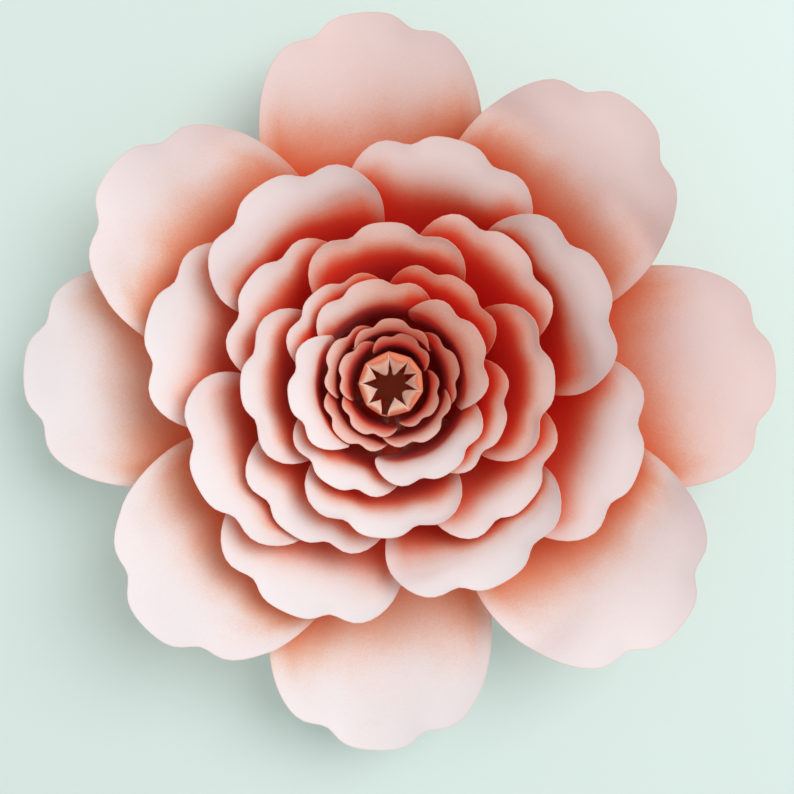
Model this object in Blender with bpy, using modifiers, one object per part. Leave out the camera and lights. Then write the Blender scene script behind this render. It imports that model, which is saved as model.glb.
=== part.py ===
"""Giant paper flower: six rings of curled card petals round a tabbed bud, glued in layers on a round backing.

Run with: blender --background --python part.py
Units are metres and degrees, +Z is up, and the origin is the middle of the backing's underside.
"""

import math
from collections import namedtuple

import bmesh
import bpy
import numpy as np
from mathutils import Vector

# Card stock
CARD = 0.0005
GLUE_GAP = 0.0003
BACKING_THICKNESS = 0.0020
BACKING_MARGIN = 0.006
BACKING_SIDES = 48

# Every petal is cut to one shape: a round blade on a tapering foot, with a notch in its rim on each
# side of the tip and a fuller corner beyond it, each at an angle round the blade's middle
NOTCH_ANGLE = 28.0
NOTCH_SPREAD = 9.0
CORNER_ANGLE = 52.0
CORNER_SPREAD = 24.0

# Room that petals leave each other: the angle between feet that count as side by side, and the
# part of the space to the petals inside and outside it that one may bend into
FEET_APART = 4.0
SPACE_SHARE = 0.38

# A ring's petals stand in up to this many layers, each leaving the backing this far inside the last
LAYERS = 4
LAYER_STEP = 0.0009

# Bud: a strip rolled into a tube, with its top edge cut into tabs that fold in over the opening
BUD_RADIUS = 0.0240
BUD_HEIGHT = 0.0640
TAB_DROP = 0.007
TAB_ARCH = 0.002

# Where the curl of a petal's edge is held back by its neighbours: this far round the blade's sides
SIDE_START = 0.45
SIDE_SPAN = 0.35
LEAST_CURL = 0.001

# Least length over which a petal goes from lying flat to standing wrapped round the flower
LEAST_WRAP = 0.020

# How much wider than the bowl a petal is wrapped at its rim, since rolled card bends less across
STRAIGHTER = 0.4

# How the roll of a petal grows towards its rim: as its square, and evenly past this part of it
ROLL_EVEN = 1.3

# Fineness of the curves that the pieces are worked out from
FLAT_STEP = 0.0005
BOWL_POINTS = 400
BOWL_MARGIN = 1.1
COLUMN_POINTS = 60
OPEN_SPACE = 1.0

# One row for each ring. length and width are those of the flat petal and foot_width its inner end.
# start is how far from the axis the foot begins, apart how far outside the next ring in (or the bud)
# the card leaves the backing, and bend the length over which it turns up. band is the length at the
# rim that is rolled outwards and roll its angle. cup is how far its sides lift, edge_band and
# edge_roll are the curl along its cut edge, and corner and notch how far the outline stands out and
# dips. across, bends and rolls count the faces of its grid: across it, in its bend and in its roll.
Ring = namedtuple(
    "Ring",
    "name length width foot_width start apart bend band roll cup edge_band edge_roll corner notch"
    " across bends rolls",
)
RINGS = (
    Ring(
        "ring1", 0.276, 0.174, 0.022, 0.0150, 0.006, 0.085, 0.120, 36,
        0.022, 0.020, 15, 0.004, 0.0080, 10, 2, 3,
    ),
    Ring(
        "ring2", 0.206, 0.138, 0.022, 0.0150, 0.006, 0.080, 0.066, 58,
        0.010, 0.012, 20, 0.014, 0.0070, 10, 1, 4,
    ),
    Ring(
        "ring3", 0.166, 0.114, 0.020, 0.0140, 0.005, 0.055, 0.048, 72,
        0.008, 0.010, 25, 0.014, 0.0060, 8, 1, 4,
    ),
    Ring(
        "ring4", 0.146, 0.086, 0.018, 0.0130, 0.005, 0.032, 0.036, 78,
        0.006, 0.008, 25, 0.011, 0.0045, 8, 1, 3,
    ),
    Ring(
        "ring5", 0.110, 0.063, 0.015, 0.0125, 0.004, 0.012, 0.014, 80,
        0.004, 0.006, 20, 0.007, 0.0035, 8, 1, 2,
    ),
    Ring(
        "ring6", 0.088, 0.051, 0.014, 0.0120, 0.002, 0.006, 0.015, 84,
        0.003, 0.005, 20, 0.005, 0.0028, 8, 1, 2,
    ),
)

# One row for each petal: its direction round the flower, how steeply it rises, its layer in the
# ring, 0 the outermost, and how much longer than the others it was cut.
Petal = namedtuple("Petal", "azimuth rise layer longer")
PETALS = {
    "ring1": (
        Petal(94.5, 24.0, 0, -0.002), Petal(48.0, 36.0, 1, -0.003), Petal(1.5, 22.0, 0, 0.007),
        Petal(-40.0, 35.0, 1, 0.002), Petal(-92.5, 25.0, 0, -0.007), Petal(-135.0, 39.0, 1, -0.019),
        Petal(178.0, 25.0, 0, -0.006), Petal(142.5, 38.0, 1, -0.014),
    ),
    "ring2": (
        Petal(75.0, 56.0, 0, -0.003), Petal(123.5, 65.0, 1, -0.003), Petal(165.0, 56.0, 0, -0.004),
        Petal(208.5, 69.5, 1, -0.014), Petal(245.0, 56.0, 0, -0.004), Petal(300.0, 67.0, 1, -0.008),
        Petal(341.0, 52.0, 0, 0.001), Petal(27.0, 63.5, 1, -0.003),
    ),
    "ring3": (
        Petal(92.0, 78.5, 1, -0.001), Petal(48.0, 65.0, 0, 0.0), Petal(0.5, 77.0, 1, -0.001),
        Petal(-40.0, 67.5, 0, -0.002), Petal(-94.0, 81.5, 1, 0.0), Petal(-124.0, 69.0, 0, -0.001),
        Petal(181.5, 83.0, 1, -0.003), Petal(144.0, 70.5, 0, -0.003),
    ),
    "ring4": (
        Petal(104.0, 87.5, 2, 0.0), Petal(54.0, 80.0, 0, 0.0), Petal(28.0, 88.5, 3, 0.0),
        Petal(-23.0, 81.0, 1, 0.0), Petal(-56.0, 87.0, 2, 0.0), Petal(-122.0, 83.0, 0, 0.0),
        Petal(188.5, 88.0, 3, 0.0), Petal(130.0, 82.5, 1, 0.0),
    ),
    "ring5": (
        Petal(89.0, 87.0, 2, 0.0), Petal(17.5, 85.5, 0, 0.0), Petal(-52.0, 87.5, 1, 0.0),
        Petal(-134.0, 83.5, 0, 0.0), Petal(150.0, 85.0, 1, 0.0),
    ),
    "ring6": (
        Petal(70.5, 87.5, 2, 0.0), Petal(156.0, 86.5, 1, 0.0), Petal(-126.0, 85.5, 0, 0.0),
        Petal(-28.5, 88.5, 1, 0.0),
    ),
}

# The bud's folds in order round it: the direction of each one's first corner, how far its tab
# reaches in from the fold, 0 where the strip's ends meet, and how wide the tab's end is.
Tab = namedtuple("Tab", "corner length end_width")
TABS = (
    Tab(53.0, 0.0150, 0.0050), Tab(94.0, 0.0140, 0.0040), Tab(141.0, 0.0106, 0.0020),
    Tab(179.0, 0.0122, 0.0010), Tab(221.0, 0.0097, 0.0010), Tab(252.0, 0.0, 0.0),
    Tab(264.0, 0.0128, 0.0010), Tab(305.0, 0.0117, 0.0065), Tab(347.0, 0.0129, 0.0010),
    Tab(382.0, 0.0116, 0.0010),
)

COLOURS = {
    "ring1": (0.80, 0.56, 0.50),
    "ring2": (0.78, 0.50, 0.43),
    "ring3": (0.74, 0.42, 0.35),
    "ring4": (0.70, 0.36, 0.29),
    "ring5": (0.66, 0.32, 0.25),
    "ring6": (0.66, 0.32, 0.25),
    "bud": (0.76, 0.46, 0.37),
    "backing": (0.80, 0.72, 0.66),
}
CARD_ROUGHNESS = 0.75


def clear_scene():
    for obj in list(bpy.data.objects):
        bpy.data.objects.remove(obj, do_unlink=True)


def smooth(t):
    """0 below 0, 1 above 1, with a smooth rise between."""
    t = np.clip(t, 0.0, 1.0)
    return t * t * (3.0 - 2.0 * t)


def row_count(ring):
    """Faces along a petal: one for its foot, those in its bend, one up its wall and those in its roll."""
    return 1 + ring.bends + 1 + ring.rolls


class Template:
    """The flat outline of a ring's petals: w across, s along from the foot's inner end."""

    def __init__(self, ring, longer):
        self.ring = ring
        self.radius = ring.width / 2
        self.middle = ring.length + longer - self.radius
        foot = ring.foot_width / 2
        reach = math.hypot(foot, self.middle)
        self.side = math.pi - math.atan2(foot, self.middle) - math.acos(self.radius / reach)
        self.outward = np.array([math.sin(self.side), math.cos(self.side)])
        self.foot_corner = np.array([foot, 0.0])
        self.touch = np.array([0.0, self.middle]) + self.radius * self.outward
        half = ring.across // 2
        self.notch_column = round(half / 3) / half

    def rim(self, angle):
        """Distance from the blade's middle to the rim, with its notches and its fuller corners."""
        degrees = np.degrees(np.abs(angle))
        notch = (degrees - NOTCH_ANGLE) / NOTCH_SPREAD
        corner = (degrees - CORNER_ANGLE) / CORNER_SPREAD
        fuller = self.ring.corner * np.exp(-corner * corner)
        return self.radius + fuller - self.ring.notch * np.exp(-notch * notch)

    def angle(self, across):
        """Angle of a grid column, with one column on each notch."""
        notch = math.radians(NOTCH_ANGLE)
        size = np.abs(across)
        inner = notch * size / self.notch_column
        outer = notch + (self.side - notch) * (size - self.notch_column) / (1 - self.notch_column)
        return np.sign(across) * np.where(size < self.notch_column, inner, outer)

    def column(self, across, along):
        """Flat place of a point on a grid column that fans from the foot, along 0, to the rim, along 1."""
        angle = self.angle(across)
        rim = self.rim(angle)
        end = np.array([rim * np.sin(angle), self.middle + rim * np.cos(angle)])
        start = np.array([across * self.foot_corner[0], np.zeros_like(across)])
        half_way = 0.5 * (self.foot_corner + self.touch)
        turn = np.array([across * half_way[0], half_way[1] * np.ones_like(across)])
        rest = 1.0 - along
        return start * rest * rest + 2 * turn * rest * along + end * along * along

    def up_column(self, across):
        """Points up a grid column, and how far from the axis each lies while the petal is flat."""
        along = np.linspace(0.0, 1.0, COLUMN_POINTS)
        w, s = self.column(np.full(COLUMN_POINTS, across), along)
        return along, np.hypot(self.ring.start + s, w)

    def rows(self, across, turn):
        """Where the grid's rows cross a column, from the foot's inner end to the rim.

        The lower rows are arcs round the axis, so that layers nest, and the last of them falls a
        little short of the bend's end. The upper rows part every column as they do the middle one.
        """
        ring = self.ring
        along, reach = self.up_column(across)
        middle_along, middle_reach = self.up_column(0.0)
        bend = turn + ring.bend * np.arange(ring.bends + 1) / (ring.bends + 0.5)
        low = np.interp(bend, reach, along)
        middle_low = np.interp(bend[-1], middle_reach, middle_along)
        roll = middle_reach[-1] - ring.band * np.linspace(1.0, 0.0, ring.rolls + 1)
        high = (np.interp(roll, middle_reach, middle_along) - middle_low) / (1.0 - middle_low)
        return np.concatenate([[0.0], low, low[-1] + (1.0 - low[-1]) * high])

    def flat(self, across, row, turn):
        """Flat places of the grid's points."""
        places = np.empty((2, len(across)))
        for column in np.unique(across):
            rows = self.rows(column, turn)
            here = across == column
            places[:, here] = self.column(across[here], np.interp(row[here], np.arange(len(rows)), rows))
        return places

    def edge(self, w, s):
        """Distance to the outline, and the flat direction towards it."""
        angle = np.arctan2(np.abs(w), s - self.middle)
        on_blade = angle <= self.side
        from_rim = self.rim(angle) - np.hypot(w, s - self.middle)
        from_flank = (self.foot_corner[0] - np.abs(w)) * self.outward[0] - s * self.outward[1]
        distance = np.where(on_blade, from_rim, from_flank)
        out_w = np.where(on_blade, np.sin(angle), self.outward[0]) * np.sign(w)
        out_s = np.where(on_blade, np.cos(angle), self.outward[1])
        return np.maximum(distance, 0.0), out_w, out_s


class Bowl:
    """The round bowl that a petal follows: its radius, height and slope along a line from the axis."""

    def __init__(self, ring, petal, turn, seat):
        end = ring.start + ring.length + petal.longer
        self.turn = turn
        self.along = np.linspace(0.0, BOWL_MARGIN * end, BOWL_POINTS)
        step = self.along[1]
        turned_up = smooth((self.along - turn) / ring.bend)
        over = np.clip((self.along - end + ring.band) / ring.band, 0.0, None)
        rolled = over * over * (2.0 - np.minimum(over, ROLL_EVEN))
        self.slope = np.radians(petal.rise * turned_up - ring.roll * rolled)
        self.straighter = 1.0 + STRAIGHTER * smooth(over)
        self.radius = step * (np.cumsum(np.cos(self.slope)) - np.cos(self.slope))
        self.height = seat + step * (np.cumsum(np.sin(self.slope)) - np.sin(self.slope))

    def space(self, others):
        """At each point along this bowl, how far it is to the nearest of the other bowls."""
        nearest = np.full(BOWL_POINTS, np.inf)
        for other in others:
            apart = np.hypot(
                self.radius[:, None] - other.radius[None, :], self.height[:, None] - other.height[None, :]
            )
            nearest = np.minimum(nearest, apart.min(axis=1))
        return nearest


class Sheet:
    """One petal's bent surface in its own frame: X outwards, Y across, Z up."""

    def __init__(self, ring, longer, bowl, inside, outside):
        self.ring = ring
        self.template = Template(ring, longer)
        self.bowl = bowl
        self.inside = inside
        self.outside = outside

    def base(self, w, s):
        """The bent sheet before its edge is curled: laid round its bowl, with its sides lifted."""
        ring, bowl = self.ring, self.bowl
        straight = ring.start + s
        flat = 1.0 - smooth((straight - bowl.turn) / max(2 * ring.bend, LEAST_WRAP))
        along = straight + flat * (np.hypot(straight, w) - straight)
        radius = np.interp(along, bowl.along, bowl.radius)
        height = np.interp(along, bowl.along, bowl.height)
        slope = np.interp(along, bowl.along, bowl.slope)
        wrap = radius * np.interp(along, bowl.along, bowl.straighter)
        turn = flat * np.arctan2(w, straight) + (1.0 - flat) * w / wrap
        room = np.maximum(np.interp(along, bowl.along, self.inside), FLAT_STEP)
        grown = smooth((straight - bowl.turn) / ring.bend)
        lift = grown * room * (1.0 - np.exp(-ring.cup * (w / self.template.radius) ** 2 / room))
        out = wrap - np.sin(slope) * lift
        ahead = radius - wrap + out * np.cos(turn)
        return np.array([ahead, out * np.sin(turn), height + np.cos(slope) * lift])

    def place(self, w, s):
        """The finished surface: the base with a band along its cut edge curled outwards."""
        ring = self.ring
        distance, out_w, out_s = self.template.edge(w, s)
        past = np.maximum(ring.edge_band - distance, 0.0)
        point = self.base(w, s)
        ahead = self.base(w + FLAT_STEP * out_w, s + FLAT_STEP * out_s) - point
        aside = self.base(w + FLAT_STEP * out_s, s - FLAT_STEP * out_w) - point
        onwards = ahead / np.linalg.norm(ahead, axis=0)
        inner = np.cross(aside, onwards, axis=0)
        inner /= np.linalg.norm(inner, axis=0)
        fade = smooth((s - self.template.middle / 2) / (self.template.middle / 2))
        curl = np.maximum(fade * math.radians(ring.edge_roll) / ring.edge_band, LEAST_CURL)
        back = (1.0 - np.cos(curl * past)) / curl
        room = np.interp(ring.start + s, self.bowl.along, self.outside)
        sideways = smooth((np.abs(out_w) - SIDE_START) / SIDE_SPAN)
        limited = room * (1.0 - np.exp(-back / room))
        back = back + sideways * (limited - back)
        return point + onwards * (np.sin(curl * past) / curl - past) - inner * back


def card_material(name, colour):
    material = bpy.data.materials.new(name)
    material.use_nodes = True
    shader = material.node_tree.nodes["Principled BSDF"]
    shader.inputs["Base Color"].default_value = (*colour, 1.0)
    shader.inputs["Roughness"].default_value = CARD_ROUGHNESS
    shader.inputs["Metallic"].default_value = 0.0
    return material


def mesh_object(name, bm, material, collection):
    mesh = bpy.data.meshes.new(name)
    bm.to_mesh(mesh)
    bm.free()
    mesh.materials.append(material)
    mesh.shade_smooth()
    obj = bpy.data.objects.new(name, mesh)
    collection.objects.link(obj)
    return obj


def thicken(obj, thickness, offset):
    solidify = obj.modifiers.new("card", "SOLIDIFY")
    solidify.thickness = thickness
    solidify.offset = offset


def make_petal(name, sheet, azimuth, material, collection):
    ring = sheet.ring
    bm = bmesh.new()
    rows = row_count(ring)
    bmesh.ops.create_grid(bm, x_segments=ring.across, y_segments=rows, size=1.0)
    grid = np.array([vertex.co[:2] for vertex in bm.verts])
    row = np.round(0.5 * (grid[:, 1] + 1.0) * rows)
    places = sheet.place(*sheet.template.flat(-grid[:, 0].round(6), row, sheet.bowl.turn))
    for vertex, place in zip(bm.verts, places.T):
        vertex.co = Vector(place)
    obj = mesh_object(name, bm, material, collection)
    obj.rotation_euler.z = math.radians(azimuth)
    thicken(obj, CARD, 1.0)
    return obj


def make_backing(radius, collection):
    bm = bmesh.new()
    bmesh.ops.create_cone(
        bm, cap_ends=True, segments=BACKING_SIDES, radius1=radius, radius2=radius, depth=BACKING_THICKNESS,
    )
    obj = mesh_object("backing_disc", bm, card_material("backing_card", COLOURS["backing"]), collection)
    obj.location.z = BACKING_THICKNESS / 2
    return obj


def polar(radius, degrees, height):
    angle = math.radians(degrees)
    return Vector((radius * math.cos(angle), radius * math.sin(angle), height))


def make_bud(seat, collection):
    """The rolled strip, then each tab from its straight fold to its tip."""
    bm = bmesh.new()
    top = seat + BUD_HEIGHT
    corners = [tab.corner for tab in TABS] + [TABS[0].corner + 360.0]
    low, high = [], []
    for first, second in zip(corners, corners[1:]):
        ends = polar(BUD_RADIUS, first, top), polar(BUD_RADIUS, second, top)
        high += [bm.verts.new(ends[0]), bm.verts.new((ends[0] + ends[1]) / 2)]
        low += [bm.verts.new(polar(BUD_RADIUS, angle, seat)) for angle in (first, (first + second) / 2)]
    count = len(high)
    for i in range(count):
        j = (i + 1) % count
        bm.faces.new((low[i], low[j], high[j], high[i]))
    for k, tab in enumerate(TABS):
        if tab.length:
            base = [high[2 * k], high[2 * k + 1], high[(2 * k + 2) % count]]
            add_tab(bm, base, tab, 0.5 * (corners[k] + corners[k + 1]))
    obj = mesh_object("centre_bud", bm, card_material("bud_card", COLOURS["bud"]), collection)
    thicken(obj, CARD, -1.0)
    return obj


def add_tab(bm, base, tab, middle):
    """Two rows of faces from the fold to the tab's end, narrowing and dipping towards the axis."""
    inwards = -polar(1.0, middle, 0.0)
    across = polar(1.0, middle + 90.0, 0.0)
    end = base[1].co + tab.length * inwards - Vector((0.0, 0.0, TAB_DROP))
    previous = base
    for share in (0.5, 1.0):
        row = []
        for side, start in zip((-0.5, 0.0, 0.5), base):
            place = start.co.lerp(end + side * tab.end_width * across, share)
            place.z += TAB_ARCH * math.sin(math.pi * share)
            row.append(bm.verts.new(place))
        for i in (0, 1):
            bm.faces.new((previous[i], previous[i + 1], row[i + 1], row[i]))
        previous = row


def half_foot(ring):
    """Half the angle that the foot of a ring's petal takes up round the axis."""
    return math.degrees(math.atan2(ring.foot_width / 2, ring.start))


def seat_over(placed, ring, azimuth):
    """Height of a foot's underside: over the highest of the feet laid before it that it crosses."""
    under = BACKING_THICKNESS
    for other_ring, other_azimuth, other_seat in placed:
        apart = abs((azimuth - other_azimuth + 180.0) % 360.0 - 180.0)
        if apart < half_foot(ring) + half_foot(other_ring) + FEET_APART:
            under = max(under, other_seat + CARD)
    return under + GLUE_GAP


def turning_radii():
    """How far from the axis each ring's petals leave the backing, by the ring's name."""
    turns = {}
    turn = BUD_RADIUS
    for ring in reversed(RINGS):
        turn += ring.apart
        turns[ring.name] = turn
    return turns


def layered_bowls(turns):
    """Each layer from the outside in, as its ring and its petals' bowls, then the top of the feet."""
    layers = []
    placed = []
    for ring in RINGS:
        for layer in range(LAYERS):
            bowls = {}
            for number, petal in enumerate(PETALS[ring.name], start=1):
                if petal.layer == layer:
                    seat = seat_over(placed, ring, petal.azimuth)
                    placed.append((ring, petal.azimuth, seat))
                    bowls[number] = Bowl(ring, petal, turns[ring.name] - layer * LAYER_STEP, seat)
            if bowls:
                layers.append((ring, bowls))
    return layers, CARD + max(seat for _, _, seat in placed)


def spare(bowl, others):
    """The part of the space to the other bowls that one petal may bend into."""
    if not others:
        return np.full(BOWL_POINTS, OPEN_SPACE)
    return SPACE_SHARE * np.maximum(bowl.space(others) - CARD - GLUE_GAP, 0.0)


def make_flower():
    collection = bpy.data.collections.new("giant_paper_flower")
    bpy.context.scene.collection.children.link(collection)
    materials = {ring.name: card_material(f"{ring.name}_card", COLOURS[ring.name]) for ring in RINGS}
    turns = turning_radii()
    layers, top = layered_bowls(turns)
    make_backing(max(turns.values()) + BACKING_MARGIN, collection)
    for index, (ring, bowls) in enumerate(layers):
        inner = list(layers[index + 1][1].values()) if index + 1 < len(layers) else []
        outer = list(layers[index - 1][1].values()) if index else []
        for number, bowl in bowls.items():
            petal = PETALS[ring.name][number - 1]
            outside = np.maximum(spare(bowl, outer), FLAT_STEP)
            sheet = Sheet(ring, petal.longer, bowl, spare(bowl, inner), outside)
            make_petal(f"{ring.name}_petal_{number}", sheet, petal.azimuth, materials[ring.name], collection)
    make_bud(top + GLUE_GAP, collection)


clear_scene()
make_flower()
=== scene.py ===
"""The looks of the giant paper flower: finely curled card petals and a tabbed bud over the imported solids.

Sizes are in metres and angles in degrees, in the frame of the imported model: +Z up, out of the flower's face.
"""

import math
from collections import namedtuple

import bmesh
import bpy
import numpy as np
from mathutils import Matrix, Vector
from mathutils.bvhtree import BVHTree


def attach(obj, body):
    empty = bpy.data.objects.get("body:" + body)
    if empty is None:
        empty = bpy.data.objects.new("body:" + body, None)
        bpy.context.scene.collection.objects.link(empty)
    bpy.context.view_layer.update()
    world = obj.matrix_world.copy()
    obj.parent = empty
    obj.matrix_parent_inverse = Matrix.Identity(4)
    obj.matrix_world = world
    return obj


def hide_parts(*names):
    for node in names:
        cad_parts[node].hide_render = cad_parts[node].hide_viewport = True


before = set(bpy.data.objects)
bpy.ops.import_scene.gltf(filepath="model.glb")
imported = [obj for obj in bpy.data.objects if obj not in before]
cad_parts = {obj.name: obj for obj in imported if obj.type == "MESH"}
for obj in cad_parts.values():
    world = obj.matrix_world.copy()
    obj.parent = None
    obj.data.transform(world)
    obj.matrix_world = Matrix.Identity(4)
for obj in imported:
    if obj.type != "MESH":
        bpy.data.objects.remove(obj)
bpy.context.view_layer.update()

# The card, the glue line under each foot, the backing, and the bud with the drop of its tabs' ends
CARD = 0.0005
GLUE_GAP = 0.0003
BACKING_THICKNESS = 0.0020
BACKING_MARGIN = 0.006
BUD_RADIUS = 0.0240
BUD_HEIGHT = 0.0640
TAB_DROP = 0.007

# A petal's rim: its notches and its fuller corners, as angles from the tip and how widely each spreads
NOTCH_ANGLE = 28.0
NOTCH_SPREAD = 9.0
CORNER_ANGLE = 52.0
CORNER_SPREAD = 24.0

# How a sheet bends: how much straighter it is across its roll, after how many bands the roll becomes a plain
# curve, the least length over which it goes from flat to round, how sideways the rim faces where it starts
# to count as a side and over what span that grows, and the least curl of the rim
STRAIGHTER = 0.4
ROLL_EVEN = 1.3
LEAST_WRAP = 0.020
SIDE_START = 0.45
SIDE_SPAN = 0.35
LEAST_CURL = 0.001

# How petals lie in layers: the angle under which two feet cross, the share of the space to the next petals
# that one may bend into, the layers of a ring and the step between them, and the space where nothing is near
FEET_APART = 4.0
SPACE_SHARE = 0.38
LAYERS = 4
LAYER_STEP = 0.0009
OPEN_SPACE = 1.0

# How finely the sheets are worked out
FLAT_STEP = 0.0005
BOWL_POINTS = 400
BOWL_MARGIN = 1.1
COLUMN_POINTS = 90
LEAST_BLADE = 0.02

# Each ring's petals: their flat length, width and foot width, where the foot starts, how much farther out
# than the next ring in they turn up, the bend's length, the rolled end's length and angle, the lift of the
# sides, the curled rim's width and angle, the fuller corners, the notches, and the columns of the grid
Ring = namedtuple(
    "Ring",
    "name length width foot_width start apart bend band roll cup edge_band edge_roll corner notch columns",
)
RINGS = (
    Ring(
        "ring1", 0.276, 0.174, 0.022, 0.0150, 0.006, 0.085, 0.120, 36,
        0.022, 0.020, 15, 0.004, 0.0080, 60,
    ),
    Ring(
        "ring2", 0.206, 0.138, 0.022, 0.0150, 0.006, 0.080, 0.066, 58,
        0.010, 0.012, 20, 0.014, 0.0070, 60,
    ),
    Ring(
        "ring3", 0.166, 0.114, 0.020, 0.0140, 0.005, 0.055, 0.048, 72,
        0.008, 0.010, 25, 0.014, 0.0060, 56,
    ),
    Ring(
        "ring4", 0.146, 0.086, 0.018, 0.0130, 0.005, 0.032, 0.036, 78,
        0.006, 0.008, 25, 0.011, 0.0045, 52,
    ),
    Ring(
        "ring5", 0.110, 0.063, 0.015, 0.0125, 0.004, 0.012, 0.014, 80,
        0.004, 0.006, 20, 0.007, 0.0035, 48,
    ),
    Ring(
        "ring6", 0.088, 0.051, 0.014, 0.0120, 0.002, 0.006, 0.015, 79,
        0.003, 0.005, 20, 0.005, 0.0028, 48,
    ),
)

# Each petal: where it points, how steeply it rises, its layer from the outside in, and how much longer it is
Petal = namedtuple("Petal", "azimuth rise layer longer")
PETALS = {
    "ring1": (
        Petal(94.5, 24.0, 0, -0.002), Petal(48.0, 36.0, 1, -0.003), Petal(1.5, 22.0, 0, 0.007),
        Petal(-40.0, 35.0, 1, 0.002), Petal(-92.5, 25.0, 0, -0.007), Petal(-135.0, 39.0, 1, -0.019),
        Petal(178.0, 25.0, 0, -0.006), Petal(142.5, 38.0, 1, -0.014),
    ),
    "ring2": (
        Petal(75.0, 56.0, 0, -0.003), Petal(123.5, 65.0, 1, -0.003), Petal(165.0, 56.0, 0, -0.004),
        Petal(208.5, 69.5, 1, -0.014), Petal(245.0, 56.0, 0, -0.004), Petal(300.0, 67.0, 1, -0.008),
        Petal(341.0, 52.0, 0, 0.001), Petal(27.0, 63.5, 1, -0.003),
    ),
    "ring3": (
        Petal(92.0, 78.5, 1, -0.001), Petal(48.0, 65.0, 0, 0.0), Petal(0.5, 77.0, 1, -0.001),
        Petal(-40.0, 67.5, 0, -0.002), Petal(-94.0, 81.5, 1, 0.0), Petal(-124.0, 69.0, 0, -0.001),
        Petal(181.5, 83.0, 1, -0.003), Petal(144.0, 70.5, 0, -0.003),
    ),
    "ring4": (
        Petal(104.0, 87.5, 2, 0.0), Petal(54.0, 80.0, 0, 0.0), Petal(28.0, 88.5, 3, 0.0),
        Petal(-23.0, 81.0, 1, 0.0), Petal(-56.0, 87.0, 2, 0.0), Petal(-122.0, 83.0, 0, 0.0),
        Petal(188.5, 88.0, 3, 0.0), Petal(130.0, 82.5, 1, 0.0),
    ),
    "ring5": (
        Petal(89.0, 87.0, 2, 0.0), Petal(17.5, 85.5, 0, 0.0), Petal(-52.0, 86.2, 1, 0.0),
        Petal(-134.0, 83.5, 0, 0.0), Petal(150.0, 85.0, 1, 0.0),
    ),
    "ring6": (
        Petal(70.5, 87.5, 2, 0.0), Petal(156.0, 86.5, 1, 0.0), Petal(-126.0, 85.5, 0, 0.0),
        Petal(-28.5, 88.5, 1, 0.0),
    ),
}

# Each tab of the bud: the angle of its first corner, its length and its end's width. No length is a gap
Tab = namedtuple("Tab", "corner length end_width")
TABS = (
    Tab(53.0, 0.0160, 0.0052), Tab(94.0, 0.0152, 0.0074), Tab(141.0, 0.0112, 0.0020),
    Tab(179.0, 0.0122, 0.0010), Tab(221.0, 0.0097, 0.0010), Tab(252.0, 0.0, 0.0),
    Tab(264.0, 0.0128, 0.0010), Tab(305.0, 0.0124, 0.0084), Tab(347.0, 0.0129, 0.0010),
    Tab(382.0, 0.0116, 0.0010),
)

# Rows of each petal's grid: on the flat foot, round the bend, up the blade, over the roll, along the edge
FOOT_ROWS, BEND_ROWS, BLADE_ROWS, ROLL_ROWS, EDGE_ROWS = 4, 9, 8, 18, 7

# How the shade painted into the folds is worked out: the rays from each point, how far over it they start and
# how far they look, the step between such points, how much of each value stays its own when it is blurred, and
# the step between the points of the cards that the rays meet
RAYS = 64
RAY_START = 0.0009
RAY_REACH = 0.130
SHADE_STEP = 3
SHADE_OWN = 0.5
TREE_STEP = 2

# A direction with more of Z in it than this counts as upright, and no length is taken as less than tiny
NEARLY_UP = 0.9
TINY = 1e-12

# What the rays meet at the middle: the bud's wall, its tabs as a sloping lid and the backing. The lid's hole
# is a share of the bud's radius, and its rim lies lower by the drop
BUD_SIDES = 12
LID_SHARE = 0.4
LID_DROP = 0.004
DISC_SIDES = 4
DISC_RADIUS = 0.056

# The bud's grid: columns across each tab, steps along it, and the wall's levels. Its wall is partly rounded
TAB_COLUMNS = 12
TAB_STEPS = 12
WALL_LEVELS = (0.0, 0.2, 0.4, 0.6, 0.8, 0.93, 1.0)
WALL_FLATNESS = 0.8

# A tab whose end is narrower than this tapers to a point, and any other ends blunt. Both droop by a power of
# the share of their length, arch up over their fold and bulge along their middle line
POINTED_END = 0.003
POINTED_TAPER = 1.4
BLUNT_TAPER = 1.05
POINTED_ROUNDING = 0.10
BLUNT_ROUNDING = 0.26
DROP_POWER = 1.7
ARCH_HEIGHT = 0.0022
ARCH_END = 0.8
TAB_BULGE = 0.0009

# How open the bud's points are, which sets the shade painted on them: up its wall, at a tab's fold, how that
# grows along the tab, and the share of that growth on the tab's middle line. The last length is the most that
# a point counts as from its edge
WALL_OPEN = 0.30
WALL_TOP_OPEN = 0.12
WALL_OPEN_POWER = 4
FOLD_OPEN = 0.42
TIP_OPEN = 0.42
TIP_OPEN_AT = 0.60
TAB_MIDDLE_OPEN = 0.7
FAR_FROM_EDGE = 0.01

# The backing's sides, how far its edge is eased, and the largest face that is shaded smooth
BACKING_SIDES = 160
BACKING_EASE = 0.0003
EASE_STEPS = 2
LEVEL_WITHIN = 1e-6
SMALL_FACE = 1e-4

# The curve between a colour as it looks on a screen and as light
SCREEN_KNEE = 0.04045
SCREEN_SLOPE = 12.92
SCREEN_OFFSET = 0.055
SCREEN_POWER = 2.4

# The patterns in the card and the board, from soft clouds of colour down to the tooth of the paper
Pattern = namedtuple("Pattern", "scale detail roughness")
CLOUDS = Pattern(22.0, 3.0, 0.5)
DENTS = Pattern(11.0, 1.0, 0.5)
SPECKS = Pattern(620.0, 2.0, 0.7)
TOOTH = Pattern(1500.0, 2.0, 0.7)
FIBRES = Pattern(2200.0, 2.0, 0.6)
BOARD_CLOUDS = Pattern(60.0, 5.0, 0.5)
BOARD_TOOTH = Pattern(1800.0, 3.0, 0.7)
FIBRE_STRETCH = (1.0, 0.18, 0.5)
FIBRE_TURN = (0.3, 0.2, 0.7)

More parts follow.
